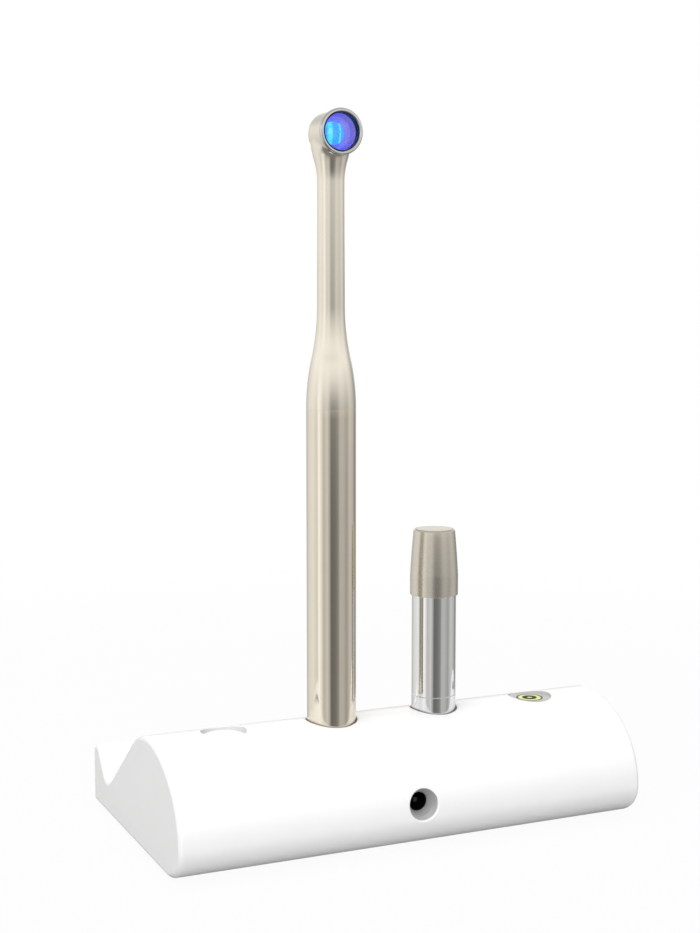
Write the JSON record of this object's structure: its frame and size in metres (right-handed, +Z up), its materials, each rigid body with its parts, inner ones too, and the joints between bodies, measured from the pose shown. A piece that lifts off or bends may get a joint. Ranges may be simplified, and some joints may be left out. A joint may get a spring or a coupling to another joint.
{
  "type": "dental led curing light",
  "caption": "Slim cordless dental curing light standing in a hump-shaped charging base with a spare battery pack.",
  "frame": {"origin": "on the table under the middle of the charging base", "axes": "+X along the base to the right seen from the front, +Y to the back of the base, +Z up along the handpiece"},
  "size_m": [0.152, 0.0896, 0.2191],
  "materials": {
    "base_white": "glossy white ABS",
    "plate_white": "satin white ABS",
    "cup_grey": "dark grey moulded plastic",
    "rubber": "dark rubber",
    "steel": "zinc-plated steel",
    "contact_gold": "gold-plated brass",
    "board_green": "glass-epoxy circuit board",
    "component_black": "moulded black package",
    "capacitor_can": "bare can",
    "flex": "polyimide ribbon",
    "dish_grey": "satin grey",
    "meter_filter": "pale yellow-green filter",
    "window_white": "translucent white diffuser",
    "led_white": "surface-mount light",
    "can_chrome": "bright nickel plate",
    "cap_champagne": "satin champagne anodised",
    "cell_wrap": "shrink film on a steel cell",
    "insulator": "natural nylon",
    "barrel_champagne": "polished champagne anodised",
    "neck_champagne": "satin champagne anodised",
    "bezel_chrome": "chrome",
    "liner_black": "black seal",
    "lens_glass": "coated glass with a violet sheen",
    "inner_lens_blue": "clear dome with a cyan-blue coating",
    "reflector_bright": "bright reflector",
    "copper": "bare copper",
    "light_die": "light-emitting chips",
    "lead_red": "insulated leads",
    "button_metal": "satin champagne button"
  },
  "bodies": {
    "charging_base": {"base_housing": "base_white", "bottom_plate": "plate_white", "rubber_feet": "rubber", "plate_screws": "steel", "handpiece_cup": "cup_grey", "cup_pad": "rubber", "charging_cup": "cup_grey", "contact_ring": "contact_gold", "pin_holder": "component_black", "pin_spring": "steel", "contact_strips": "contact_gold", "charger_board": "board_green", "board_screws": "steel", "charge_controller": "component_black", "filter_capacitor": "capacitor_can", "inlet_body": "component_black", "inlet_contact_pin": "contact_gold", "meter_dish": "dish_grey", "meter_window": "meter_filter", "meter_aperture": "component_black", "meter_sensor": "component_black", "meter_board": "board_green", "meter_ribbon": "flex", "status_window": "window_white", "status_light": "led_white", "status_board": "board_green", "status_ribbon": "flex"},
    "charging_pin": {"charge_pin": "contact_gold"},
    "spare_pack": {"spare_battery_can": "can_chrome", "spare_battery_cap": "cap_champagne", "spare_battery_cell": "cell_wrap", "spare_cell_board": "board_green", "spare_contact_tip": "contact_gold", "spare_tip_insulator": "insulator"},
    "fitted_pack": {"fitted_battery_can": "can_chrome", "fitted_battery_cap": "cap_champagne", "fitted_battery_cell": "cell_wrap", "fitted_cell_board": "board_green", "fitted_contact_tip": "contact_gold", "fitted_tip_insulator": "insulator"},
    "handpiece": {"barrel": "barrel_champagne", "head_shell": "neck_champagne", "heat_sink": "copper", "light_board": "copper", "light_chips": "light_die", "reflector": "reflector_bright", "inner_lens": "inner_lens_blue", "lens": "lens_glass", "lens_liner": "liner_black", "lens_bezel": "bezel_chrome", "light_leads": "lead_red", "battery_contact": "contact_gold", "board_carrier": "component_black", "driver_board": "board_green", "driver_controller": "component_black", "switches": "component_black"},
    "power_key": {"power_button": "button_metal"},
    "mode_key": {"mode_button": "button_metal"}
  },
  "joints": [
    {"name": "handpiece_lift", "type": "slide", "parent": "charging_base", "child": "fitted_pack", "axis": [0, 0, 1], "range_m": [0, 0.04]},
    {"name": "pack_pull_off", "type": "slide", "parent": "fitted_pack", "child": "handpiece", "axis": [0, 0, 1], "range_m": [0, 0.065]},
    {"name": "spare_lift", "type": "slide", "parent": "charging_base", "child": "spare_pack", "axis": [0, 0, 1], "range_m": [0, 0.035]},
    {"name": "charge_pin_travel", "type": "slide", "parent": "charging_base", "child": "charging_pin", "axis": [0, 0, -1], "range_m": [0, 0.0008], "stiffness_N_per_m": 400, "springref_m": -0.0005},
    {"name": "power_press", "type": "slide", "parent": "handpiece", "child": "power_key", "axis": [0, -1, 0], "range_m": [0, 0.0003], "stiffness_N_per_m": 3000, "springref_m": -0.0002},
    {"name": "mode_press", "type": "slide", "parent": "handpiece", "child": "mode_key", "axis": [0, -1, 0], "range_m": [0, 0.0003], "stiffness_N_per_m": 3000, "springref_m": -0.0002}
  ]
}
